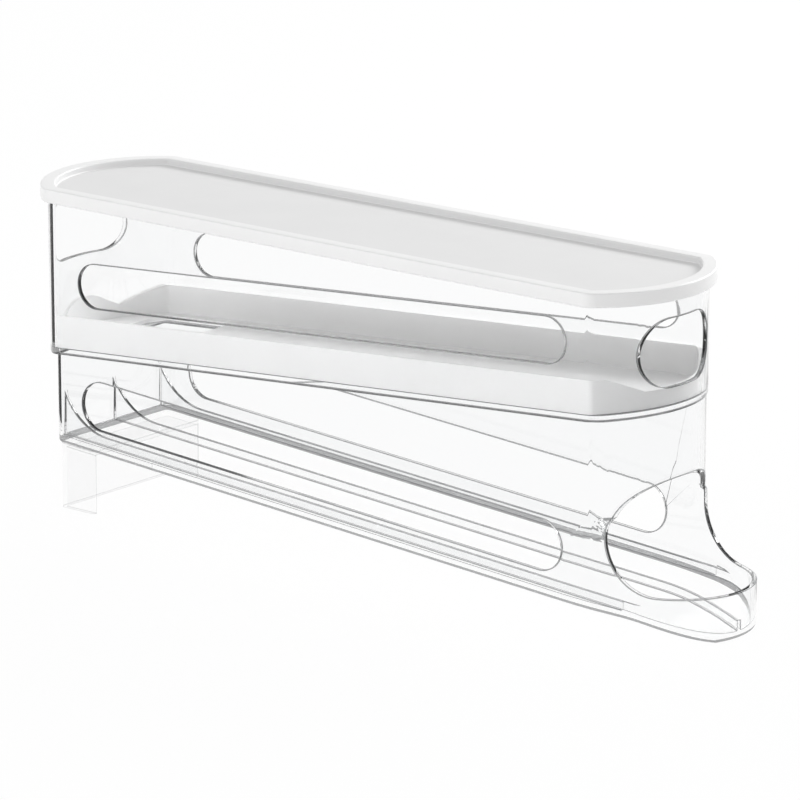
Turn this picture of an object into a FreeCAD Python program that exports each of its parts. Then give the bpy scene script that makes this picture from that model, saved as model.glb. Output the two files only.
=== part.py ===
import FreeCAD, Part
import math
import os
import Sketcher
from FreeCAD import Placement, Rotation, Vector

# Two-tier egg holder: a clear lower shell with a sloping floor and an open scoop at the front,
# a clear upper shell, a white ramp tray between the two tiers, a white lid and a clear rear stand.
# X runs along the holder with the scoop at +X, Y across it, Z up. The origin is on the table,
# under the middle of the holder. Lengths are in millimetres; a name that ends in share is a ratio.
SIZES = {
    # Whole holder
    "holder_height": 170.0,
    "scoop_reach": 31.8,
    "seam_gap": 0.4,
    "overrun": 5.0,
    # Lid
    "lid_length": 399.5,
    "lid_width": 100.0,
    "lid_back_radius_share": 0.6,
    "lid_front_radius_share": 0.63,
    "lid_corner_radius": 11.0,
    "lid_side": 7.3,
    "lid_rim": 7.5,
    "lid_recess": 3.5,
    "lid_floor": 1.8,
    "lid_lip": 2.0,
    "lid_lip_depth": 3.0,
    "lid_overhang": 3.8,
    # Upper shell
    "shell_wall": 2.5,
    "ledge_thickness": 2.9,
    "upper_window_back": 46.4,
    "upper_window_length": 312.5,
    "upper_window_rise_share": 0.4336,
    "upper_window_height_share": 0.4153,
    "front_window_width_share": 0.53,
    "front_window_height_share": 0.6455,
    "front_window_rise_share": 0.1734,
    "back_window_width_share": 0.55,
    "back_window_height_share": 0.4237,
    "back_window_rise_share": 0.5029,
    "back_window_corner_share": 0.1644,
    # Ramp tray
    "tray_level": 98.3,
    "tray_rise_share": 0.068,
    "tray_depth": 17.2,
    "tray_wall": 2.0,
    "tray_floor": 2.0,
    "drop_back": 30.2,
    "drop_length": 49.0,
    "drop_width_share": 0.72,
    "drop_corner": 10.0,
    "front_dip_height": 8.8,
    "front_dip_width_share": 0.44,
    "dip_top_width_share": 0.81,
    "notch_height": 9.2,
    "notch_spread_share": 0.43,
    "crest_width_share": 0.26,
    "crest_radius_share": 0.24,
    # Lower shell
    "lower_width_share": 0.86,
    "lower_wall": 2.5,
    "lower_back": 25.8,
    "lower_back_corner": 4.5,
    "lower_front_step": 0.7,
    "lower_front_corner": 12.0,
    "floor_level": 22.5,
    "floor_fall_share": 0.067,
    "floor_thickness": 3.4,
    "nose_radius_share": 0.385,
    "nose_side_radius": 200.0,
    "nose_drop_length": 45.6,
    "nose_drop_radius": 112.0,
    "bite_radius": 27.0,
    "bite_level": 50.0,
    "bite_depth": 51.0,
    "blend_bottom": 42.0,
    "blend_top": 58.0,
    "lower_window_back": 45.0,
    "lower_window_length": 310.0,
    "lower_window_rise": 12.9,
    "lower_window_height": 25.3,
    # Guide ribs on the lower floor
    "rib_height": 4.7,
    "rib_thickness": 1.8,
    "rib_spread_share": 0.73,
    "rib_root": 1.7,
    "rib_sweep_radius": 34.0,
    "rib_sweep_rise": 24.0,
    # Rear stand
    "stand_inset": 1.2,
    "stand_length": 24.0,
    "stand_wall": 2.5,
    "stand_corner": 3.3,
}

doc = FreeCAD.newDocument("EggHolder")
sheet = doc.addObject("Spreadsheet::Sheet", "dims")
for row, (alias, value) in enumerate(SIZES.items(), start=1):
    sheet.set("A%d" % row, alias)
    sheet.set("B%d" % row, str(value))
    sheet.setAlias("B%d" % row, alias)
doc.recompute()


class Size:
    """A size from the sheet, or a sum worked out from such sizes: its value and its formula."""

    def __init__(self, value, formula):
        self.value = value
        self.formula = formula

    def __add__(self, other):
        other = as_size(other)
        return Size(self.value + other.value, "(%s + %s)" % (self.formula, other.formula))

    def __sub__(self, other):
        other = as_size(other)
        return Size(self.value - other.value, "(%s - %s)" % (self.formula, other.formula))

    def __mul__(self, other):
        other = as_size(other)
        return Size(self.value * other.value, "(%s * %s)" % (self.formula, other.formula))

    def __truediv__(self, other):
        other = as_size(other)
        return Size(self.value / other.value, "(%s / %s)" % (self.formula, other.formula))

    def __neg__(self):
        return Size(-self.value, "(0 - %s)" % self.formula)

    def root(self):
        return Size(math.sqrt(self.value), "sqrt(%s)" % self.formula)


def as_size(number):
    return number if isinstance(number, Size) else Size(float(number), str(number))


def size(alias):
    return Size(float(sheet.get(alias)), "dims.%s" % alias)


def bind(target, prop, length):
    target.setExpression(prop, length.formula)


# The three ways a sketch can face: from above, from the side and from the front.
PLAN = Rotation()
SIDE = Rotation(Vector(1, 0, 0), 90)
END = Rotation(Vector(1, 1, 1), 120)


def outline(name, facing, corners):
    """A closed sketch. Each corner is (x, y, radius, turn): the radius and turn of the arc that leaves
    it, counterclockwise for a turn of 1 and clockwise for -1, or None and 0 for a straight side."""
    sketch = doc.addObject("Sketcher::SketchObject", name)
    sketch.Placement = Placement(Vector(), facing)
    count = len(corners)
    first = []
    last = []
    for place, (x, y, radius, turn) in enumerate(corners):
        start = Vector(x.value, y.value, 0)
        end = Vector(corners[(place + 1) % count][0].value, corners[(place + 1) % count][1].value, 0)
        if radius is None:
            sketch.addGeometry(Part.LineSegment(start, end))
        else:
            chord = end - start
            left = Vector(-chord.y, chord.x, 0).normalize()
            depth = math.sqrt(max(radius.value ** 2 - (chord.Length / 2) ** 2, 0))
            centre = start + chord / 2 + left * (depth * turn)
            circle = Part.Circle(centre, Vector(0, 0, 1), radius.value)
            angles = [math.atan2(p.y - centre.y, p.x - centre.x) for p in (start, end)]
            if turn < 0:
                angles.reverse()
            sketch.addGeometry(Part.ArcOfCircle(circle, angles[0], angles[1]))
        first.append(2 if turn < 0 else 1)
        last.append(1 if turn < 0 else 2)
    for place, (x, y, radius, turn) in enumerate(corners):
        after = (place + 1) % count
        sketch.addConstraint(Sketcher.Constraint("Coincident", place, last[place], after, first[after]))
        across = Sketcher.Constraint("DistanceX", -1, 1, place, first[place], x.value)
        bind(sketch, "Constraints[%d]" % sketch.addConstraint(across), x)
        up = Sketcher.Constraint("DistanceY", -1, 1, place, first[place], y.value)
        bind(sketch, "Constraints[%d]" % sketch.addConstraint(up), y)
        if radius is not None:
            bend = Sketcher.Constraint("Radius", place, radius.value)
            bind(sketch, "Constraints[%d]" % sketch.addConstraint(bend), radius)
    return sketch


def prism(name, sketch, length, start=None, axis=None):
    """A sketch drawn out square to itself: both ways alike, or one way from a start along an axis."""
    solid = doc.addObject("Part::Extrusion", name)
    solid.Base = sketch
    solid.DirMode = "Normal"
    solid.Solid = True
    solid.Symmetric = axis is None
    bind(solid, "LengthFwd", length)
    if axis is not None:
        bind(sketch, "Placement.Base.%s" % axis, start)
    return solid


def fuse(name, *solids):
    joined = doc.addObject("Part::MultiFuse", name)
    joined.Shapes = list(solids)
    joined.Refine = True
    return joined


def common(name, *solids):
    shared = doc.addObject("Part::MultiCommon", name)
    shared.Shapes = list(solids)
    return shared


def cut(name, base, *tools):
    rest = doc.addObject("Part::Cut", name)
    rest.Base = base
    rest.Tool = tools[0] if len(tools) == 1 else fuse(name + "_cuts", *tools)
    rest.Refine = True
    return rest


overrun = size("overrun")
seam = size("seam_gap")
total = size("lid_length") + size("scoop_reach")
back = -(total / 2)
front = total / 2
reach = front + overrun
depth_across = size("lid_width") + overrun * 2


def across(share):
    """A width that keeps its share of the lid's width."""
    return size("lid_width") * size(share)


back_radius = across("lid_back_radius_share")
front_radius = across("lid_front_radius_share")
lower_half = across("lower_width_share") / 2
nose_radius = across("nose_radius_share")

# Plan outlines


def bowed_plan(name, inset):
    """The lid's outline from above, moved inwards: straight sides, bowed ends and rounded corners."""
    half = size("lid_width") / 2 - inset
    corner = size("lid_corner_radius") - inset
    if corner.value <= 0:
        corner = size("tray_wall")
    back_bow = back_radius - inset
    front_bow = front_radius - inset
    back_middle = back + back_radius
    front_middle = back + size("lid_length") - front_radius

    def turn_in(bow):
        out = ((bow - corner) * (bow - corner) - (half - corner) * (half - corner)).root()
        return out, out * bow / (bow - corner), (half - corner) * bow / (bow - corner)

    front_side, front_x, front_y = turn_in(front_bow)
    back_side, back_x, back_y = turn_in(back_bow)
    return outline(name, PLAN, (
        (back_middle - back_side, -half, None, 0),
        (front_middle + front_side, -half, corner, 1),
        (front_middle + front_x, -front_y, front_bow, 1),
        (front_middle + front_x, front_y, corner, 1),
        (front_middle + front_side, half, None, 0),
        (back_middle - back_side, half, corner, 1),
        (back_middle - back_x, back_y, back_bow, 1),
        (back_middle - back_x, -back_y, corner, 1),
    ))


def nosed_plan(name, inset, nose, nose_middle, side_bow):
    """The lower shell's outline from above, moved inwards: a flat back and a rounded front."""
    half = lower_half - inset
    wall_back = back + size("lower_back") + inset
    corner = size("lower_back_corner") - inset
    nose = nose - inset
    side_bow = side_bow - inset
    out = ((nose - side_bow) * (nose - side_bow) - (half - side_bow) * (half - side_bow)).root()
    if side_bow.value > nose.value:
        out = -out
    tip_x = out * nose / (nose - side_bow)
    tip_y = (half - side_bow) * nose / (nose - side_bow)
    return outline(name, PLAN, (
        (wall_back + corner, -half, None, 0),
        (nose_middle + out, -half, side_bow, 1),
        (nose_middle + tip_x, -tip_y, nose, 1),
        (nose_middle + tip_x, tip_y, side_bow, 1),
        (nose_middle + out, half, None, 0),
        (wall_back + corner, half, corner, 1),
        (wall_back, half - corner, None, 0),
        (wall_back, corner - half, corner, 1),
    ))


def front_wall_plan(name, inset):
    """The lower shell above the scoop, where its front follows the upper shell's."""
    bow = front_radius - size("lid_overhang") - size("lower_front_step")
    middle = back + size("lid_length") - front_radius
    return nosed_plan(name, inset, bow, middle, size("lower_front_corner"))


def scoop_plan(name, inset):
    """The lower shell at the level of the scoop, which reaches further forward."""
    return nosed_plan(name, inset, nose_radius, front - nose_radius, size("nose_side_radius"))


def round_box(name, facing, left, right, bottom, top, corner):
    return outline(name, facing, (
        (left + corner, bottom, None, 0),
        (right - corner, bottom, corner, 1),
        (right, bottom + corner, None, 0),
        (right, top - corner, corner, 1),
        (right - corner, top, None, 0),
        (left + corner, top, corner, 1),
        (left, top - corner, None, 0),
        (left, bottom + corner, corner, 1),
    ))


def slot(name, facing, left, right, level, slope, rise, height):
    """A round-ended slot between two ends, at a height over a line that passes a level and slopes."""
    long_way = (slope * slope + 1).root()
    radius = height / 2
    along = (radius / long_way, radius * slope / long_way)
    middles = []
    for x in (left + radius, right - radius):
        middles.append((x, level + slope * x + rise + radius))
    (ax, ay), (bx, by) = middles
    return outline(name, facing, (
        (ax + along[1], ay - along[0], None, 0),
        (bx + along[1], by - along[0], radius, 1),
        (bx + along[0], by + along[1], radius, 1),
        (bx - along[1], by + along[0], None, 0),
        (ax - along[1], ay + along[0], radius, 1),
        (ax - along[0], ay - along[1], radius, 1),
    ))


def band(name, bottom, bottom_slope, top, top_slope):
    """Everything between two sloping planes, each given by its level at the origin and its slope."""
    side = outline(name + "_side", SIDE, (
        (-reach, bottom - bottom_slope * reach, None, 0),
        (reach, bottom + bottom_slope * reach, None, 0),
        (reach, top + top_slope * reach, None, 0),
        (-reach, top - top_slope * reach, None, 0),
    ))
    return prism(name, side, depth_across)


# Levels and slopes that several pieces share
level = size("tray_level")
rise = size("tray_rise_share")
fall = -size("floor_fall_share")
flat = rise - rise
lid_bottom = size("holder_height") - size("lid_side")
rim_level = level - size("ledge_thickness")
shell_inset = size("lid_overhang")
cavity_inset = shell_inset + size("shell_wall")
tray_inset = cavity_inset + seam
above = size("holder_height") + overrun
front_middle = back + size("lid_length") - front_radius
back_middle = back + back_radius



def tall(share, x):
    """A height that keeps its share of the room between the tray's plane and the lid at a place."""
    return (lid_bottom - level - rise * x) * size(share)


# Lid: a plate with a raised rim that rests on the shell's top edge, and two lips inside the long walls
lid_block = prism("lid_block", bowed_plan("lid_outline", shell_inset - shell_inset), size("lid_side"),
                  lid_bottom, "z")
recess = prism("lid_recess", bowed_plan("recess_outline", size("lid_rim")), size("lid_recess") + overrun,
               size("holder_height") - size("lid_recess"), "z")
under_depth = size("lid_side") - size("lid_recess") - size("lid_floor")
under = prism("lid_under", bowed_plan("under_outline", tray_inset + size("lid_lip")), under_depth + overrun,
              lid_bottom - overrun, "z")
lid_plate = cut("lid_plate", lid_block, recess, under)
lip_outer = size("lid_width") / 2 - tray_inset
lip_inner = lip_outer - size("lid_lip")
lips = []
for lip_name, near_edge, far_edge in (("lip_near", -lip_outer, -lip_inner), ("lip_far", lip_inner, lip_outer)):
    lips.append(prism(lip_name, outline(lip_name + "_outline", PLAN, (
        (back_middle, near_edge, None, 0),
        (front_middle, near_edge, None, 0),
        (front_middle, far_edge, None, 0),
        (back_middle, far_edge, None, 0),
    )), size("lid_lip_depth") + under_depth, lid_bottom - size("lid_lip_depth"), "z"))
lid = fuse("lid", lid_plate, *lips)

# Upper shell: bowed walls with windows, and a ledge inside the bottom edge that carries the tray
upper_prism = prism("upper_prism", bowed_plan("upper_outline", shell_inset), lid_bottom, flat, "z")
upper_block = common("upper_block", upper_prism, band("upper_band", rim_level, rise, above, flat))
hollow_prism = prism("hollow_prism", bowed_plan("hollow_outline", cavity_inset), above, flat, "z")
hollow = common("upper_hollow", hollow_prism, band("hollow_band", level, rise, above, flat))
throat = prism("upper_throat", front_wall_plan("throat_outline", size("lower_wall")), above, flat, "z")
upper_left = back + size("upper_window_back")
upper_right = upper_left + size("upper_window_length")
upper_windows = prism("upper_windows", slot(
    "upper_window_outline", SIDE, upper_left, upper_right, level, rise,
    tall("upper_window_rise_share", upper_right), tall("upper_window_height_share", upper_right)), depth_across)
front_half = across("front_window_width_share") / 2
lid_front = back + size("lid_length")
front_window = prism("front_window", slot(
    "front_window_outline", END, -front_half, front_half, level + rise * lid_front, flat,
    tall("front_window_rise_share", lid_front), tall("front_window_height_share", lid_front)),
    total, front_middle, "x")
back_half = across("back_window_width_share") / 2
back_sill = level + rise * back + tall("back_window_rise_share", back)
back_window = prism("back_window", round_box(
    "back_window_outline", END, -back_half, back_half, back_sill,
    back_sill + tall("back_window_height_share", back), tall("back_window_corner_share", back)),
    back_radius + overrun, back - overrun, "x")
upper_shell = cut("upper_shell", upper_block, hollow, throat, upper_windows, front_window, back_window)

# Ramp tray: a shallow sloping trough with a drop hole at its low end
tray_prism = prism("tray_prism", bowed_plan("tray_outline", tray_inset), above, flat, "z")
tray_top = level + size("tray_depth")
tray_block = common("tray_block", tray_prism, band("tray_band", level, rise, tray_top, rise))
trough_prism = prism("trough_prism", bowed_plan("trough_outline", tray_inset + size("tray_wall")), above, flat, "z")
trough = common("tray_trough", trough_prism, band("trough_band", level + size("tray_floor"), rise, above, flat))
drop_left = back + size("drop_back")
drop_half = across("drop_width_share") / 2
drop = prism("drop_hole", round_box(
    "drop_outline", PLAN, drop_left, drop_left + size("drop_length"), -drop_half, drop_half,
    size("drop_corner")), above, flat, "z")
tray_front = front - size("scoop_reach") - tray_inset
dip_level = level + rise * tray_front + size("front_dip_height")
dip_top = level + rise * tray_front + size("tray_depth") + overrun
dip_low = across("front_dip_width_share") / 2
dip_high = across("dip_top_width_share") / 2
front_dip = prism("front_dip", outline("front_dip_outline", END, (
    (-dip_low, dip_level, None, 0),
    (dip_low, dip_level, None, 0),
    (dip_high, dip_top - overrun, None, 0),
    (dip_high, dip_top, None, 0),
    (-dip_high, dip_top, None, 0),
    (-dip_high, dip_top - overrun, None, 0),
)), total, front_middle, "x")
tray_back = back + tray_inset
crest_level = level + rise * tray_back + size("tray_depth")
corner_level = level + rise * (back + size("lower_back")) + size("tray_depth")
crest_half = across("crest_width_share") / 2
crest_bow = across("crest_radius_share")
crest_foot = crest_level - crest_bow + (crest_bow * crest_bow - crest_half * crest_half).root()
notch_half = across("notch_spread_share") / 2
notch_level = level + rise * tray_back + size("notch_height")
back_notches = prism("back_notches", outline("back_notch_outline", END, (
    (notch_half, notch_level, None, 0),
    (dip_high, corner_level, None, 0),
    (dip_high, corner_level + overrun, None, 0),
    (-dip_high, corner_level + overrun, None, 0),
    (-dip_high, corner_level, None, 0),
    (-notch_half, notch_level, None, 0),
    (-crest_half, crest_foot, crest_bow, -1),
    (crest_half, crest_foot, None, 0),
)), back_radius + overrun, back - overrun, "x")
ramp_tray = cut("ramp_tray", tray_block, trough, drop, front_dip, back_notches)

# Lower shell: straight walls that blend from the scoop's outline to the upper shell's front
floor_stretch = (fall * fall + 1).root()
bend_x = front - size("nose_drop_length")
bend_z = size("floor_level") + fall * bend_x
lean = -fall / floor_stretch
upright = as_size(1) / floor_stretch
centre_x = bend_x - lean * size("nose_drop_radius")
centre_z = bend_z - upright * size("nose_drop_radius")


def floor_line(offset, x):
    """The height of a line at an offset over the sloping underside."""
    return size("floor_level") + fall * x + offset * floor_stretch


def nose_line(offset, x):
    """The height of the bent front stretch at an offset over the underside."""
    radius = size("nose_drop_radius") + offset
    return centre_z + (radius * radius - (x - centre_x) * (x - centre_x)).root()


def bend_point(offset):
    radius = size("nose_drop_radius") + offset
    return centre_x + lean * radius, centre_z + upright * radius


def floor_region(name, offset, top):
    """Everything over the floor line at an offset, up to a plane that slopes like the tray."""
    bend = bend_point(offset)
    side = outline(name + "_side", SIDE, (
        (-reach, floor_line(offset, -reach), None, 0),
        (bend[0], bend[1], size("nose_drop_radius") + offset, -1),
        (reach, nose_line(offset, reach), None, 0),
        (reach, top + rise * reach, None, 0),
        (-reach, top - rise * reach, None, 0),
    ))
    return prism(name, side, depth_across)


def lower_walls(name, inset):
    """The lower shell's outline as a solid block, moved inwards."""
    bottom = scoop_plan(name + "_scoop_plan", inset)
    blend_foot = scoop_plan(name + "_foot_plan", inset)
    blend_head = front_wall_plan(name + "_head_plan", inset)
    top = front_wall_plan(name + "_wall_plan", inset)
    scoop = prism(name + "_scoop", bottom, size("blend_bottom") + overrun, -overrun, "z")
    bind(blend_foot, "Placement.Base.z", size("blend_bottom"))
    bind(blend_head, "Placement.Base.z", size("blend_top"))
    blend = doc.addObject("Part::Loft", name + "_blend")
    blend.Sections = [blend_foot, blend_head]
    blend.Solid = True
    blend.Ruled = True
    wall = prism(name + "_wall", top, above - size("blend_top"), size("blend_top"), "z")
    return fuse(name, scoop, blend, wall)


no_offset = flat * overrun
lower_outer = common("lower_outer", lower_walls("lower_block", no_offset),
                     floor_region("lower_region", no_offset, rim_level))
lower_inner = common("lower_inner", lower_walls("lower_core", size("lower_wall")),
                     floor_region("core_region", size("floor_thickness"), rim_level + overrun))
bite_x = front - size("bite_depth") + size("bite_radius")
bite_z = size("bite_level")
bite_r = size("bite_radius")
bite = prism("scoop_bite", outline("bite_outline", SIDE, (
    (bite_x, bite_z - bite_r, None, 0),
    (reach, bite_z - bite_r, None, 0),
    (reach, bite_z + bite_r, None, 0),
    (bite_x, bite_z + bite_r, bite_r, 1),
    (bite_x - bite_r, bite_z, bite_r, 1),
)), depth_across)
lower_left = back + size("lower_window_back")
lower_windows = prism("lower_windows", slot(
    "lower_window_outline", SIDE, lower_left, lower_left + size("lower_window_length"), size("floor_level"),
    fall, size("lower_window_rise"), size("lower_window_height")), depth_across)
lower_walls_cut = cut("lower_walls_cut", lower_outer, lower_inner, bite, lower_windows)

# Guide ribs: three rails along the floor that sweep up the back wall
rib_top = size("floor_thickness") + size("rib_height")
rib_back = back + size("lower_back") + size("lower_wall") / 2
rib_front = front - size("lower_wall") / 2
sweep = size("rib_sweep_radius")
sweep_rise = size("rib_sweep_rise")
sweep_reach = (sweep_rise * (sweep * 2 - sweep_rise)).root()
sweep_foot = rib_back + sweep_reach - lean * sweep
rib_bend = bend_point(rib_top)
root_bend = bend_point(size("rib_root"))
sweep_head = floor_line(rib_top, sweep_foot) + upright * sweep - sweep + sweep_rise


def guide_rib(name, y):
    side = outline(name + "_side", SIDE, (
        (rib_back, floor_line(size("rib_root"), rib_back), None, 0),
        (root_bend[0], root_bend[1], size("nose_drop_radius") + size("rib_root"), -1),
        (rib_front, nose_line(size("rib_root"), rib_front), None, 0),
        (rib_front, nose_line(rib_top, rib_front), size("nose_drop_radius") + rib_top, 1),
        (rib_bend[0], rib_bend[1], None, 0),
        (sweep_foot, floor_line(rib_top, sweep_foot), sweep, -1),
        (rib_back, sweep_head, None, 0),
    ))
    rib = prism(name, side, size("rib_thickness"))
    if y is not None:
        bind(side, "Placement.Base.y", y)
    return rib


rib_half = across("rib_spread_share") / 2
ribs = fuse("guide_ribs", guide_rib("rib_middle", None), guide_rib("rib_near", -rib_half),
            guide_rib("rib_far", rib_half))
ribs_inside = common("ribs_inside", ribs, lower_walls("rib_limit", size("lower_wall") / 2))
lower_raw = fuse("lower_raw", lower_walls_cut, ribs_inside)
table = doc.addObject("Part::Box", "table_cut")
for prop, length in (("Length", reach * 2), ("Width", depth_across), ("Height", size("floor_level")),
                     ("Placement.Base.x", -reach), ("Placement.Base.y", -(depth_across / 2)),
                     ("Placement.Base.z", -size("floor_level"))):
    bind(table, prop, length)
lower_shell = cut("lower_shell", lower_raw, table)

# Rear stand: a clear bracket, open below and in front, under the raised back of the floor
stand_left = back + size("lower_back") + size("stand_inset")
stand_right = stand_left + size("stand_length")
stand_half = lower_half - size("stand_inset")
stand_prism = prism("stand_prism", round_box("stand_outline", PLAN, stand_left, stand_right, -stand_half,
                                             stand_half, size("stand_corner")), above, flat, "z")
stand_block = common("stand_block", stand_prism, band("stand_band", -overrun, flat, size("floor_level"), fall))
stand_core = size("stand_wall")
core_prism = prism("stand_core_prism", round_box(
    "stand_core_outline", PLAN, stand_left + stand_core, stand_right + overrun, stand_core - stand_half,
    stand_half - stand_core, size("stand_corner") - stand_core), above + overrun, -overrun, "z")
core = common("stand_core", core_prism, band("stand_core_band", -overrun * 2, flat,
                                             size("floor_level") - stand_core, fall))
rear_stand = cut("rear_stand", stand_block, core)

doc.recompute()

pieces = (lid, upper_shell, ramp_tray, lower_shell, rear_stand)
for piece in pieces:
    piece.Label = piece.Name
for item in doc.Objects:
    if "Invalid" in item.State or "Error" in item.State:
        raise RuntimeError("%s could not be built" % item.Name)
for piece in pieces:
    shape = piece.Shape
    if shape.isNull() or not shape.isValid() or len(shape.Solids) != 1:
        raise RuntimeError("%s is not one valid solid" % piece.Label)
    box = shape.BoundBox
    print("%-12s volume %9.0f  x %7.1f %7.1f  y %6.1f %6.1f  z %6.1f %6.1f" % (
        piece.Label, shape.Volume, box.XMin, box.XMax, box.YMin, box.YMax, box.ZMin, box.ZMax))

os.makedirs("parts", exist_ok=True)
for piece in pieces:
    piece.Shape.exportStep("parts/%s.step" % piece.Label)
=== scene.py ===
import math

import bpy
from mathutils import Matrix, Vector


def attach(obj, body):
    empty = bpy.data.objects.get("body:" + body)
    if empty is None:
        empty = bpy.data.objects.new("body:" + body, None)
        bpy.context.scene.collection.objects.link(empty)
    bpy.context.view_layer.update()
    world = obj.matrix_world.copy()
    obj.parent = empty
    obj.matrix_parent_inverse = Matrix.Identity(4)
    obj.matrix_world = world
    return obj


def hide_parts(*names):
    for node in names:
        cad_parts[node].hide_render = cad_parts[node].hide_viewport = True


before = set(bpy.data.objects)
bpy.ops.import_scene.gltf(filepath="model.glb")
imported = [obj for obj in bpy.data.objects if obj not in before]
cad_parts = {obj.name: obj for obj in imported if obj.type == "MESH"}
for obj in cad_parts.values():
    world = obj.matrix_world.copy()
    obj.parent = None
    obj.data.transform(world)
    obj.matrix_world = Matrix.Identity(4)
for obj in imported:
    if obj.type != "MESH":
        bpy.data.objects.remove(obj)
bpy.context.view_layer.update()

bl_info = {
    "name": "Egg holder",
    "version": (1, 0, 0),
    "blender": (4, 5, 0),
    "location": "View3D > Sidebar > Egg Holder",
    "description": "Builds a clear two-tier egg holder with its lid, tray, shells and studio",
    "category": "Object",
}

# Corners closer than the gap become one, and faces that turn less than the angle become one
MERGE_GAP = 0.00001
FLAT_ANGLE = math.radians(0.4)

# A face with more corners is narrow if its area is under this share of its outline times its reach
PLAIN_CORNERS = 4
NARROW_SHARE = 0.04

# Neighbouring faces that turn less than this shade as one surface
SMOOTH_ANGLE = math.radians(30)

# Least upright part of the normal of a level face, and of a sloping floor or underside
LEVEL = 0.9
SLOPING = 0.7

# Material slots beside the first: the lid's panel with its painted recess shade, the rounded edges with
# their painted dark shade, and the floor of the clear shells
PAINTED_SHADE_PANEL_SLOT = 1
PAINTED_EDGE_SLOT = 1
FLOOR_SLOT = 2

# Detail of the two noises of a moulded surface, and the middle of their range
WAVE_DETAIL = 2.0
GRAIN_DETAIL = 3.0
NOISE_MIDDLE = 0.5

# What clear plastic lets through of a lamp's light
PASSED_LIGHT = (0.97, 0.97, 0.97, 1.0)

# A ray with a smaller diffuse depth hasn't met a matt surface yet
FIRST_BOUNCE = 0.5

# The studio: its white, the shade, side and level of the floor, and the point that the lamps aim at
WHITE = (1.0, 1.0, 1.0, 1.0)
FLOOR_SHADE = (0.9, 0.9, 0.9, 1.0)
FLOOR_SIDE = 14.0
FLOOR_LEVEL = -0.0002
LAMP_AIM = Vector((0.0, 0.0, 0.09))


class EggHolderShape(bpy.types.PropertyGroup):
    """Sizes of the moulded details"""

    lid_edge: bpy.props.FloatProperty(
        name="Lid edge", description="Rounding of the lid's edges", default=0.0009,
        min=0.0001, unit="LENGTH")
    tray_edge: bpy.props.FloatProperty(
        name="Tray edge", description="Rounding of the tray's edges", default=0.0006,
        min=0.0001, unit="LENGTH")
    shell_edge: bpy.props.FloatProperty(
        name="Shell edge", description="Rounding of the clear shells' edges", default=0.0005,
        min=0.0001, unit="LENGTH")
    seam_level: bpy.props.FloatProperty(
        name="Seam level", description="Height of the shells' seam at the middle", default=0.0954,
        unit="LENGTH")
    seam_slope: bpy.props.FloatProperty(
        name="Seam slope", description="Rise of the shells' seam over its length", default=0.068)
    seam_reach: bpy.props.FloatProperty(
        name="Seam reach", description="Level faces this near to the seam belong to it", default=0.0006,
        min=0, unit="LENGTH")
    floor_drop: bpy.props.FloatProperty(
        name="Floor drop", description="The lower floor lies at least this far under the seam", default=0.03,
        min=0, unit="LENGTH")
    base_edge: bpy.props.FloatProperty(
        name="Base edge", description="Rounding of the outline of the lower shell's underside",
        default=0.0020, min=0.0001, unit="LENGTH")
    base_segments: bpy.props.IntProperty(
        name="Base segments", description="Faces across the rounding of the underside", default=4, min=1)
    base_level: bpy.props.FloatProperty(
        name="Base level", description="The underside's faces lie under this height", default=0.04,
        unit="LENGTH")
    lip_cut: bpy.props.FloatProperty(
        name="Lip cut", description="How far the lid's lips are drawn up behind its edge", default=0.0021,
        min=0, unit="LENGTH")
    edge_angle: bpy.props.FloatProperty(
        name="Edge angle", description="Edges sharper than this are rounded", default=math.radians(32),
        subtype="ANGLE")
    edge_segments: bpy.props.IntProperty(
        name="Edge segments", description="Faces across each rounded edge", default=3, min=1)


class EggHolderFinish(bpy.types.PropertyGroup):
    """Colours and gloss of the plastics"""

    white: bpy.props.FloatVectorProperty(
        name="White plastic", description="Colour of the lid's rim and sides", subtype="COLOR", size=3,
        default=(0.86, 0.86, 0.86))
    # The panel's colour is darker than the rim's as painted shade of the recess inside the rim; its matt
    # roughness is real
    panel: bpy.props.FloatVectorProperty(
        name="Lid panel", description="Colour of the matt panel inside the lid's rim", subtype="COLOR",
        size=3, default=(0.79, 0.79, 0.79))
    tray: bpy.props.FloatVectorProperty(
        name="Tray plastic", description="Colour of the tray", subtype="COLOR", size=3,
        default=(0.86, 0.86, 0.86))
    clear: bpy.props.FloatVectorProperty(
        name="Clear plastic", description="Tint of the clear shells", subtype="COLOR", size=3,
        default=(0.965, 0.968, 0.97))
    white_roughness: bpy.props.FloatProperty(
        name="White roughness", description="Roughness of the white plastic", default=0.34, min=0, max=1,
        subtype="FACTOR")
    panel_roughness: bpy.props.FloatProperty(
        name="Panel roughness", description="Roughness of the lid's matt panel", default=0.6, min=0, max=1,
        subtype="FACTOR")
    clear_roughness: bpy.props.FloatProperty(
        name="Clear roughness", description="Roughness of the clear plastic", default=0.02, min=0, max=1,
        subtype="FACTOR")
    clear_ior: bpy.props.FloatProperty(
        name="Clear refraction", description="Refraction index of the clear plastic", default=1.45, min=1)
    sheet_shade: bpy.props.FloatVectorProperty(
        name="Sheet shade", description="Colour of the clear floor and stand", subtype="COLOR", size=3,
        default=(0.80, 0.805, 0.81))
    sheet_body: bpy.props.FloatProperty(
        name="Sheet body", description="How strongly the clear floor and stand show", default=0.05,
        min=0, max=1, subtype="FACTOR")
    # Painted shade: the clear plastic's rounded edges and seam get this dark grey, which stands for the dark
    # that refraction and inner reflection give them; the stand's edges get it more faintly
    painted_edge_shade: bpy.props.FloatVectorProperty(
        name="Edge shade", description="Colour that the edges of the clear plastic gather", subtype="COLOR",
        size=3, default=(0.20, 0.205, 0.21))
    painted_edge_body: bpy.props.FloatProperty(
        name="Edge body", description="How strongly the edges of the clear plastic show", default=0.75,
        min=0, max=1, subtype="FACTOR")
    stand_painted_edge_body: bpy.props.FloatProperty(
        name="Stand edge body", description="How strongly the edges of the stand show", default=0.22,
        min=0, max=1, subtype="FACTOR")


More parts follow.
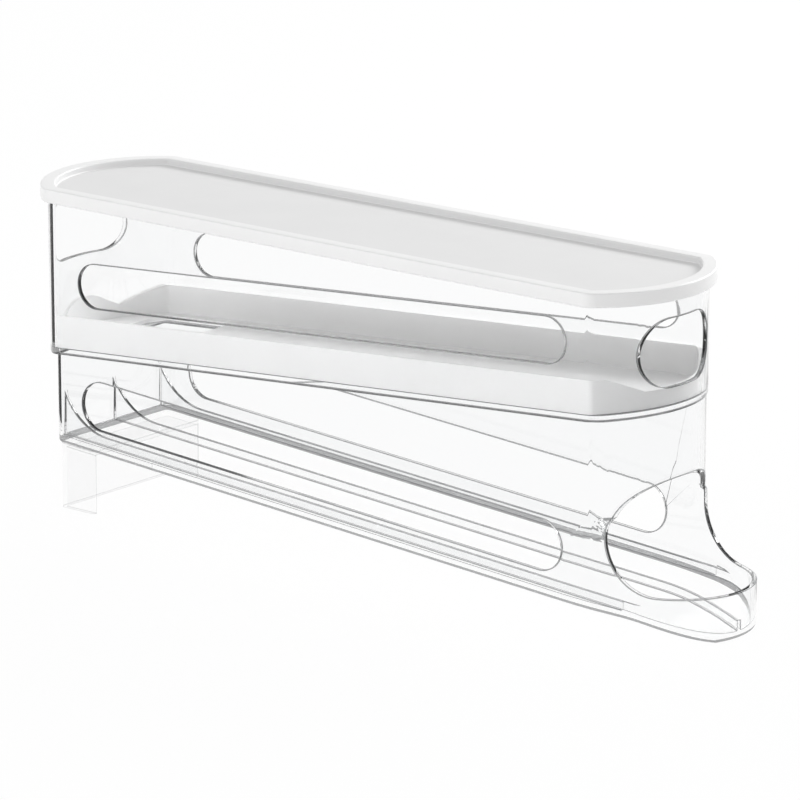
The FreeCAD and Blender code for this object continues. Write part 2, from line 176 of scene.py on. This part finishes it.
class EggHolderStage(bpy.types.PropertyGroup):
    """Camera, lamps and floor"""

    azimuth: bpy.props.FloatProperty(
        name="Azimuth", description="How far the camera stands round to the scoop", subtype="ANGLE",
        default=math.radians(39.444))
    elevation: bpy.props.FloatProperty(
        name="Elevation", description="How far the camera looks down", subtype="ANGLE",
        default=math.radians(15.078))
    distance: bpy.props.FloatProperty(
        name="Distance", description="From the camera to the middle of the view", default=2.7355,
        unit="LENGTH")
    target: bpy.props.FloatVectorProperty(
        name="Target", description="The point in the middle of the view", subtype="TRANSLATION", size=3,
        default=(0.00465, 0.0, 0.0815))
    lens: bpy.props.FloatProperty(
        name="Lens", description="Focal length on a 36 mm sensor, in millimetres", default=247.45)
    key_power: bpy.props.FloatProperty(
        name="Key lamp", description="Power of the large lamp beside the camera", default=11.0,
        subtype="POWER")
    low_power: bpy.props.FloatProperty(
        name="Low lamp", description="Power of the strip that lights the near side", default=6.0,
        subtype="POWER")
    front_power: bpy.props.FloatProperty(
        name="Front lamp", description="Power of the lamp before the scoop", default=2.0, subtype="POWER")
    far_power: bpy.props.FloatProperty(
        name="Far lamp", description="Power of the lamp that shines through the far wall", default=26.0,
        subtype="POWER")
    room_light: bpy.props.FloatProperty(
        name="Room light", description="Strength of the light from all round", default=0.56, min=0)
    floor_white: bpy.props.FloatProperty(
        name="Floor white", description="How far the floor shows plain white in place of its shade",
        default=0.97, min=0, max=1, subtype="FACTOR")


def reckon(nodes, links, operation, *values):
    """The result of a math node that takes sockets or plain numbers."""
    node = nodes.new("ShaderNodeMath")
    node.operation = operation
    for socket, value in zip(node.inputs, values):
        if isinstance(value, bpy.types.NodeSocket):
            links.new(value, socket)
        else:
            socket.default_value = value
    return node.outputs[0]


def noise(nodes, links, place, scale, detail):
    """The result of a noise with its scale from a socket."""
    node = nodes.new("ShaderNodeTexNoise")
    node.inputs["Detail"].default_value = detail
    links.new(place, node.inputs["Vector"])
    links.new(scale, node.inputs["Scale"])
    return node.outputs["Fac"]


def show_mix(nodes, links, share, first, second, output):
    """Sends a mix of two shaders to the output node."""
    mix = nodes.new("ShaderNodeMixShader")
    links.new(share, mix.inputs["Fac"])
    links.new(first, mix.inputs[1])
    links.new(second, mix.inputs[2])
    links.new(mix.outputs["Shader"], nodes[output].inputs["Surface"])


def moulded_group():
    """Faint unevenness of moulded plastic: a slow waviness, a fine grain, cloudy gloss and cloudy tone."""
    group = bpy.data.node_groups.get("Moulded surface")
    if group:
        return group
    group = bpy.data.node_groups.new("Moulded surface", "ShaderNodeTree")
    sockets = group.interface
    sockets.new_socket(name="Colour", in_out="INPUT", socket_type="NodeSocketColor")
    for label, default in (("Tone spread", 0.05), ("Gloss", 0.3), ("Gloss spread", 0.1),
                           ("Wave scale", 40.0), ("Grain scale", 900.0), ("Grain share", 0.2)):
        socket = sockets.new_socket(name=label, in_out="INPUT", socket_type="NodeSocketFloat")
        socket.default_value = default
    sockets.new_socket(name="Colour", in_out="OUTPUT", socket_type="NodeSocketColor")
    sockets.new_socket(name="Roughness", in_out="OUTPUT", socket_type="NodeSocketFloat")
    sockets.new_socket(name="Height", in_out="OUTPUT", socket_type="NodeSocketFloat")
    nodes = group.nodes
    links = group.links
    given = nodes.new("NodeGroupInput").outputs
    result = nodes.new("NodeGroupOutput").inputs
    place = nodes.new("ShaderNodeTexCoord").outputs["Object"]
    wave = noise(nodes, links, place, given["Wave scale"], WAVE_DETAIL)
    grain = noise(nodes, links, place, given["Grain scale"], GRAIN_DETAIL)
    centred = reckon(nodes, links, "SUBTRACT", wave, NOISE_MIDDLE)
    tone = reckon(nodes, links, "MULTIPLY_ADD", centred, given["Tone spread"], 1.0)
    toned = nodes.new("ShaderNodeVectorMath")
    toned.operation = "SCALE"
    links.new(given["Colour"], toned.inputs[0])
    links.new(tone, toned.inputs["Scale"])
    links.new(toned.outputs[0], result["Colour"])
    roughness = reckon(nodes, links, "MULTIPLY_ADD", centred, given["Gloss spread"], given["Gloss"])
    links.new(roughness, result["Roughness"])
    height = reckon(nodes, links, "MULTIPLY_ADD", grain, given["Grain share"], wave)
    links.new(height, result["Height"])
    return group


def new_material(name):
    """A new material with its nodes and links."""
    material = bpy.data.materials.new(name)
    material.use_nodes = True
    return material, material.node_tree.nodes, material.node_tree.links


def moulded(nodes, links, shader, gloss, spread, wave, grain, share, depth):
    """Puts the moulded unevenness on a shader's roughness and normal."""
    surface = nodes.new("ShaderNodeGroup")
    surface.node_tree = moulded_group()
    for label, value in (("Gloss", gloss), ("Gloss spread", spread), ("Wave scale", wave),
                         ("Grain scale", grain), ("Grain share", share)):
        surface.inputs[label].default_value = value
    bump = nodes.new("ShaderNodeBump")
    bump.inputs["Strength"].default_value = 1.0
    bump.inputs["Distance"].default_value = depth
    links.new(surface.outputs["Roughness"], shader.inputs["Roughness"])
    links.new(surface.outputs["Height"], bump.inputs["Height"])
    links.new(bump.outputs["Normal"], shader.inputs["Normal"])
    return surface


def white_plastic(name, colour, roughness, share, gloss):
    """White plastic of the lid and the tray, with faint clouds in its colour."""
    material, nodes, links = new_material(name)
    shader = nodes["Principled BSDF"]
    shader.inputs["IOR"].default_value = 1.47
    shader.inputs["Specular IOR Level"].default_value = gloss
    shader.inputs["Subsurface Weight"].default_value = 0.06
    shader.inputs["Subsurface Radius"].default_value = (0.002, 0.002, 0.002)
    surface = moulded(nodes, links, shader, gloss=roughness, spread=0.10, wave=30.0, grain=1500.0,
                      share=share, depth=0.00004)
    surface.inputs["Colour"].default_value = (*colour, 1.0)
    links.new(surface.outputs["Colour"], shader.inputs["Base Color"])
    return material


def clear_material(name, shade, body, transmission, **unevenness):
    """A clear plastic, made once. Lamps shine through it to the tray."""
    material = bpy.data.materials.get(name)
    if material:
        return material
    material, nodes, links = new_material(name)
    shader = nodes["Principled BSDF"]
    shader.inputs["Base Color"].default_value = (*shade, 1.0)
    shader.inputs["IOR"].default_value = bpy.context.scene.egg_holder_finish.clear_ior
    shader.inputs["Alpha"].default_value = body
    shader.inputs["Transmission Weight"].default_value = transmission
    moulded(nodes, links, shader, **unevenness)
    path = nodes.new("ShaderNodeLightPath")
    passing = nodes.new("ShaderNodeBsdfTransparent")
    passing.inputs["Color"].default_value = PASSED_LIGHT
    show_mix(nodes, links, path.outputs["Is Shadow Ray"], shader.outputs["BSDF"], passing.outputs["BSDF"],
             "Material Output")
    return material


def clear_plastic():
    """Polished clear plastic of the walls."""
    finish = bpy.context.scene.egg_holder_finish
    return clear_material("Clear polished plastic", finish.clear, body=1.0, transmission=1.0,
                          gloss=finish.clear_roughness, spread=0.03, wave=26.0, grain=700.0, share=0.02,
                          depth=0.00002)


def clear_sheet():
    """Clear plastic of the floor and the stand, which shows as a faint sheet."""
    finish = bpy.context.scene.egg_holder_finish
    return clear_material("Clear thin plastic", finish.sheet_shade, body=finish.sheet_body, transmission=0.0,
                          gloss=0.06, spread=0.04, wave=26.0, grain=700.0, share=0.02, depth=0.00002)


def clear_painted_edge(name, body):
    """Painted shade on the edges of the clear plastic: a dark grey that stands for the dark that refraction
    and inner reflection give them.
    """
    finish = bpy.context.scene.egg_holder_finish
    return clear_material(name, finish.painted_edge_shade, body=body, transmission=0.0,
                          gloss=0.15, spread=0.08, wave=60.0, grain=700.0, share=0.1, depth=0.00001)


def deselect_all():
    """Leaves edit mode and selects nothing."""
    if bpy.context.object and bpy.context.object.mode != "OBJECT":
        bpy.ops.object.mode_set(mode="OBJECT")
    bpy.ops.object.select_all(action="DESELECT")


def select_only(piece):
    """Selects one piece alone and makes it the active one."""
    deselect_all()
    piece.select_set(True)
    bpy.context.view_layer.objects.active = piece


def start_selection(mesh, kind):
    """Clears the selection on a mesh, so that corners, edges or faces can be selected."""
    kinds = ("corners", "edges", "faces")
    bpy.context.tool_settings.mesh_select_mode = [kind == other for other in kinds]
    for part in (mesh.vertices, mesh.edges, mesh.polygons):
        part.foreach_set("select", [False] * len(part))


def take_form(node, name, *plastics):
    """A new piece in the form of a CAD node, with its loose triangles merged into whole faces."""
    piece = bpy.data.objects.new(name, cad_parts[node].data.copy())
    piece.data.name = name
    piece.data.materials.clear()
    bpy.context.scene.collection.objects.link(piece)
    select_only(piece)
    bpy.ops.object.mode_set(mode="EDIT")
    bpy.ops.mesh.select_all(action="SELECT")
    bpy.ops.mesh.remove_doubles(threshold=MERGE_GAP)
    bpy.ops.mesh.dissolve_limited(angle_limit=FLAT_ANGLE)
    bpy.ops.object.mode_set(mode="OBJECT")
    split_narrow_faces(piece)
    for material in plastics:
        piece.data.materials.append(material)
    return piece


def split_narrow_faces(piece):
    """Splits long narrow faces and rings into triangles, so that their rounding stays on them."""
    mesh = piece.data
    start_selection(mesh, "faces")
    for face in mesh.polygons:
        corners = [mesh.vertices[index].co for index in face.vertices]
        around = sum((corners[place] - corners[place - 1]).length for place in range(len(corners)))
        reach = max((corner - face.center).length for corner in corners)
        face.select = len(corners) > PLAIN_CORNERS and face.area < NARROW_SHARE * around * reach
    bpy.ops.object.mode_set(mode="EDIT")
    bpy.ops.mesh.quads_convert_to_tris(quad_method="BEAUTY", ngon_method="BEAUTY")
    bpy.ops.object.mode_set(mode="OBJECT")


def round_edges(piece, width, edge_slot=-1, clamp=False):
    """Rounds every sharp edge of a piece, as a mould does, and may give the rounding a slot of its own."""
    shape = bpy.context.scene.egg_holder_shape
    rounding = piece.modifiers.new("Rounded edges", "BEVEL")
    rounding.width = width
    rounding.segments = shape.edge_segments
    rounding.limit_method = "ANGLE"
    rounding.angle_limit = shape.edge_angle
    rounding.loop_slide = False
    rounding.use_clamp_overlap = clamp
    rounding.material = edge_slot
    bpy.ops.object.modifier_apply(modifier=rounding.name)


def finish_piece(piece, body, node):
    """Smooths a piece and joins it to its body in place of its CAD node."""
    select_only(piece)
    bpy.ops.object.shade_smooth_by_angle(angle=SMOOTH_ANGLE)
    weighting = piece.modifiers.new("Flat faces stay flat", "WEIGHTED_NORMAL")
    weighting.mode = "FACE_AREA"
    weighting.weight = 100
    weighting.keep_sharp = True
    bpy.ops.object.modifier_apply(modifier=weighting.name)
    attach(piece, body)
    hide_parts(node)
    deselect_all()


class EGGHOLDER_OT_lid(bpy.types.Operator):
    """White lid with a raised rim"""

    bl_idname = "egg_holder.lid"
    bl_label = "Lid"

    def execute(self, context):
        shape = context.scene.egg_holder_shape
        finish = context.scene.egg_holder_finish
        satin = white_plastic("White satin plastic", finish.white, finish.white_roughness,
                              share=0.12, gloss=0.5)
        # The panel's darker colour is painted shade of the recess inside the rim
        matt = white_plastic("White matt panel with painted shade", finish.panel, finish.panel_roughness,
                             share=0.3, gloss=0.15)
        piece = take_form("lid", "lid_white", satin, matt)
        self.set_panel(piece)
        self.shorten_lips(piece, shape.lip_cut)
        round_edges(piece, shape.lid_edge)
        finish_piece(piece, "cover", "lid")
        return {"FINISHED"}

    def set_panel(self, piece):
        """The largest face that looks up is the panel inside the rim."""
        upward = [face for face in piece.data.polygons if face.normal.z > LEVEL]
        max(upward, key=lambda face: face.area).material_index = PAINTED_SHADE_PANEL_SLOT

    def shorten_lips(self, piece, amount):
        """Draws the two lips up so far that the lid's edge hides them."""
        mesh = piece.data
        start_selection(mesh, "corners")
        low = min(vertex.co.z for vertex in mesh.vertices)
        for vertex in mesh.vertices:
            vertex.select = vertex.co.z < low + amount / 2
        bpy.ops.object.mode_set(mode="EDIT")
        bpy.ops.transform.translate(value=(0.0, 0.0, amount))
        bpy.ops.object.mode_set(mode="OBJECT")


class EGGHOLDER_OT_ramp_tray(bpy.types.Operator):
    """White sloping tray with its drop hole"""

    bl_idname = "egg_holder.ramp_tray"
    bl_label = "Ramp tray"

    def execute(self, context):
        finish = context.scene.egg_holder_finish
        plastic = white_plastic("White tray plastic", finish.tray, finish.white_roughness,
                                share=0.12, gloss=0.5)
        piece = take_form("ramp_tray", "tray_white", plastic)
        round_edges(piece, context.scene.egg_holder_shape.tray_edge, clamp=True)
        finish_piece(piece, "tray", "ramp_tray")
        return {"FINISHED"}


class EGGHOLDER_OT_clear_shells(bpy.types.Operator):
    """Clear upper shell, lower shell and rear stand"""

    bl_idname = "egg_holder.clear_shells"
    bl_label = "Clear shells"

    def execute(self, context):
        shape = context.scene.egg_holder_shape
        finish = context.scene.egg_holder_finish
        # These edge materials are painted shade, standing for the dark that refraction and inner reflection
        # give the clear plastic's edges
        edge = clear_painted_edge("Clear plastic painted edge shade", finish.painted_edge_body)
        stand_painted_edge = clear_painted_edge("Clear stand painted edge shade", finish.stand_painted_edge_body)
        for node, name, body, plastics in (
                ("upper_shell", "shell_upper", "upper", (clear_plastic(), edge)),
                ("lower_shell", "shell_lower", "base", (clear_plastic(), edge, clear_sheet())),
                ("rear_stand", "stand_rear", "base", (clear_sheet(), stand_painted_edge))):
            piece = take_form(node, name, *plastics)
            if node != "rear_stand":
                self.shade_faces(piece, shape)
            if node == "lower_shell":
                self.round_base(piece, shape)
            # The clear pieces' rounded edges take the painted dark shade
            round_edges(piece, shape.shell_edge, PAINTED_EDGE_SLOT)
            finish_piece(piece, body, node)
        return {"FINISHED"}

    def shade_faces(self, piece, shape):
        """The level faces along the seam get the same painted dark shade as the edges, and the lower floor
        is a sheet.
        """
        for face in piece.data.polygons:
            seam = shape.seam_level + shape.seam_slope * face.center.x
            over = face.center.z - seam
            upright = abs(face.normal.z)
            if upright > LEVEL and abs(over) < shape.seam_reach:
                face.material_index = PAINTED_EDGE_SLOT
            elif upright > SLOPING and over < -shape.floor_drop:
                face.material_index = FLOOR_SLOT

    def round_base(self, piece, shape):
        """Rounds the outline of the underside more than the other edges, and paints the rounding with the
        edges' dark painted shade.
        """
        mesh = piece.data
        start_selection(mesh, "edges")
        uses = {}
        for face in mesh.polygons:
            if face.normal.z < -SLOPING and face.center.z < shape.base_level:
                for key in face.edge_keys:
                    uses[key] = uses.get(key, 0) + 1
        for edge in mesh.edges:
            edge.select = uses.get(edge.key) == 1
        bpy.ops.object.mode_set(mode="EDIT")
        bpy.ops.mesh.bevel(offset=shape.base_edge, segments=shape.base_segments, clamp_overlap=False,
                           loop_slide=False, material=PAINTED_EDGE_SLOT)
        bpy.ops.object.mode_set(mode="OBJECT")


def shown_rays(nodes, links):
    """1 for rays that show a surface straight from the camera, in a gloss or through clear plastic."""
    path = nodes.new("ShaderNodeLightPath").outputs
    shown = path["Is Camera Ray"]
    for label in ("Is Glossy Ray", "Is Transmission Ray"):
        shown = reckon(nodes, links, "MAXIMUM", shown, path[label])
    straight = reckon(nodes, links, "LESS_THAN", path["Diffuse Depth"], FIRST_BOUNCE)
    return reckon(nodes, links, "MULTIPLY", shown, straight)


class EGGHOLDER_OT_stage(bpy.types.Operator):
    """White floor, soft lamps, world and camera"""

    bl_idname = "egg_holder.stage"
    bl_label = "Stage"

    def execute(self, context):
        stage = context.scene.egg_holder_stage
        self.floor(stage)
        self.world(context.scene, stage)
        self.lamp("Key lamp", place=(-0.9, -2.0, 1.6), sides=(1.6, 1.6), power=stage.key_power)
        self.lamp("Low lamp", place=(-0.35, -1.4, 0.06), sides=(1.6, 0.18), power=stage.low_power)
        self.lamp("Front lamp", place=(2.1, -0.4, 0.5), sides=(1.0, 0.8), power=stage.front_power)
        self.lamp("Far lamp", place=(0.25, 1.6, 1.05), sides=(1.6, 0.7), power=stage.far_power)
        self.camera(context.scene, stage)
        context.scene.view_settings.view_transform = "Standard"
        return {"FINISHED"}

    def floor(self, stage):
        """A wide matt floor that shows nearly plain white."""
        deselect_all()
        bpy.ops.mesh.primitive_plane_add(size=FLOOR_SIDE, location=(0.0, 0.0, FLOOR_LEVEL))
        floor = bpy.context.object
        floor.name = "studio_floor"
        bpy.ops.object.transform_apply(location=True, rotation=True, scale=True)
        material, nodes, links = new_material("White floor")
        shader = nodes["Principled BSDF"]
        shader.inputs["Base Color"].default_value = FLOOR_SHADE
        shader.inputs["Roughness"].default_value = 0.9
        shader.inputs["Specular IOR Level"].default_value = 0.0
        glow = nodes.new("ShaderNodeEmission")
        share = reckon(nodes, links, "MULTIPLY", shown_rays(nodes, links), stage.floor_white)
        show_mix(nodes, links, share, shader.outputs["BSDF"], glow.outputs["Emission"], "Material Output")
        floor.data.materials.append(material)

    def world(self, scene, stage):
        """Even light from all round, which shows itself as plain white."""
        world = bpy.data.worlds.new("Studio")
        world.use_nodes = True
        scene.world = world
        nodes = world.node_tree.nodes
        links = world.node_tree.links
        room = nodes["Background"]
        room.inputs["Color"].default_value = WHITE
        room.inputs["Strength"].default_value = stage.room_light
        white = nodes.new("ShaderNodeBackground")
        white.inputs["Color"].default_value = WHITE
        show_mix(nodes, links, shown_rays(nodes, links), room.outputs["Background"],
                 white.outputs["Background"], "World Output")

    def lamp(self, name, place, sides, power):
        """A soft lamp that aims at the holder."""
        data = bpy.data.lights.new(name, "AREA")
        data.shape = "RECTANGLE"
        data.size, data.size_y = sides
        data.energy = power
        lamp = bpy.data.objects.new(name, data)
        lamp.location = place
        lamp.rotation_euler = (LAMP_AIM - lamp.location).to_track_quat("-Z", "Y").to_euler()
        bpy.context.scene.collection.objects.link(lamp)

    def camera(self, scene, stage):
        """The camera, turned round its target."""
        data = bpy.data.cameras.new("Camera")
        data.lens = stage.lens
        data.sensor_width = 36.0
        data.clip_end = 100.0
        camera = bpy.data.objects.new("Camera", data)
        level = math.cos(stage.elevation)
        away = Vector((math.sin(stage.azimuth) * level, -math.cos(stage.azimuth) * level,
                       math.sin(stage.elevation)))
        camera.location = Vector(stage.target) + away * stage.distance
        camera.rotation_euler = (-away).to_track_quat("-Z", "Y").to_euler()
        scene.collection.objects.link(camera)
        scene.camera = camera


class EGGHOLDER_PT_panel(bpy.types.Panel):
    """Lists the holder's pieces and their settings"""

    bl_idname = "EGGHOLDER_PT_panel"
    bl_label = "Egg Holder"
    bl_space_type = "VIEW_3D"
    bl_region_type = "UI"
    bl_category = "Egg Holder"

    def draw(self, context):
        layout = self.layout
        for operator in OPERATORS:
            layout.operator(operator.bl_idname)
        for group in (context.scene.egg_holder_shape, context.scene.egg_holder_finish,
                      context.scene.egg_holder_stage):
            box = layout.box()
            for label in group.__annotations__:
                box.prop(group, label)


OPERATORS = (EGGHOLDER_OT_lid, EGGHOLDER_OT_ramp_tray, EGGHOLDER_OT_clear_shells, EGGHOLDER_OT_stage)
CLASSES = (EggHolderShape, EggHolderFinish, EggHolderStage) + OPERATORS + (EGGHOLDER_PT_panel,)


def register():
    for item in CLASSES:
        bpy.utils.register_class(item)
    bpy.types.Scene.egg_holder_shape = bpy.props.PointerProperty(type=EggHolderShape)
    bpy.types.Scene.egg_holder_finish = bpy.props.PointerProperty(type=EggHolderFinish)
    bpy.types.Scene.egg_holder_stage = bpy.props.PointerProperty(type=EggHolderStage)


def unregister():
    del bpy.types.Scene.egg_holder_stage
    del bpy.types.Scene.egg_holder_finish
    del bpy.types.Scene.egg_holder_shape
    for item in reversed(CLASSES):
        bpy.utils.unregister_class(item)


def main():
    register()
    bpy.ops.egg_holder.lid()
    bpy.ops.egg_holder.ramp_tray()
    bpy.ops.egg_holder.clear_shells()
    bpy.ops.egg_holder.stage()


if __name__ == "__main__":
    main()
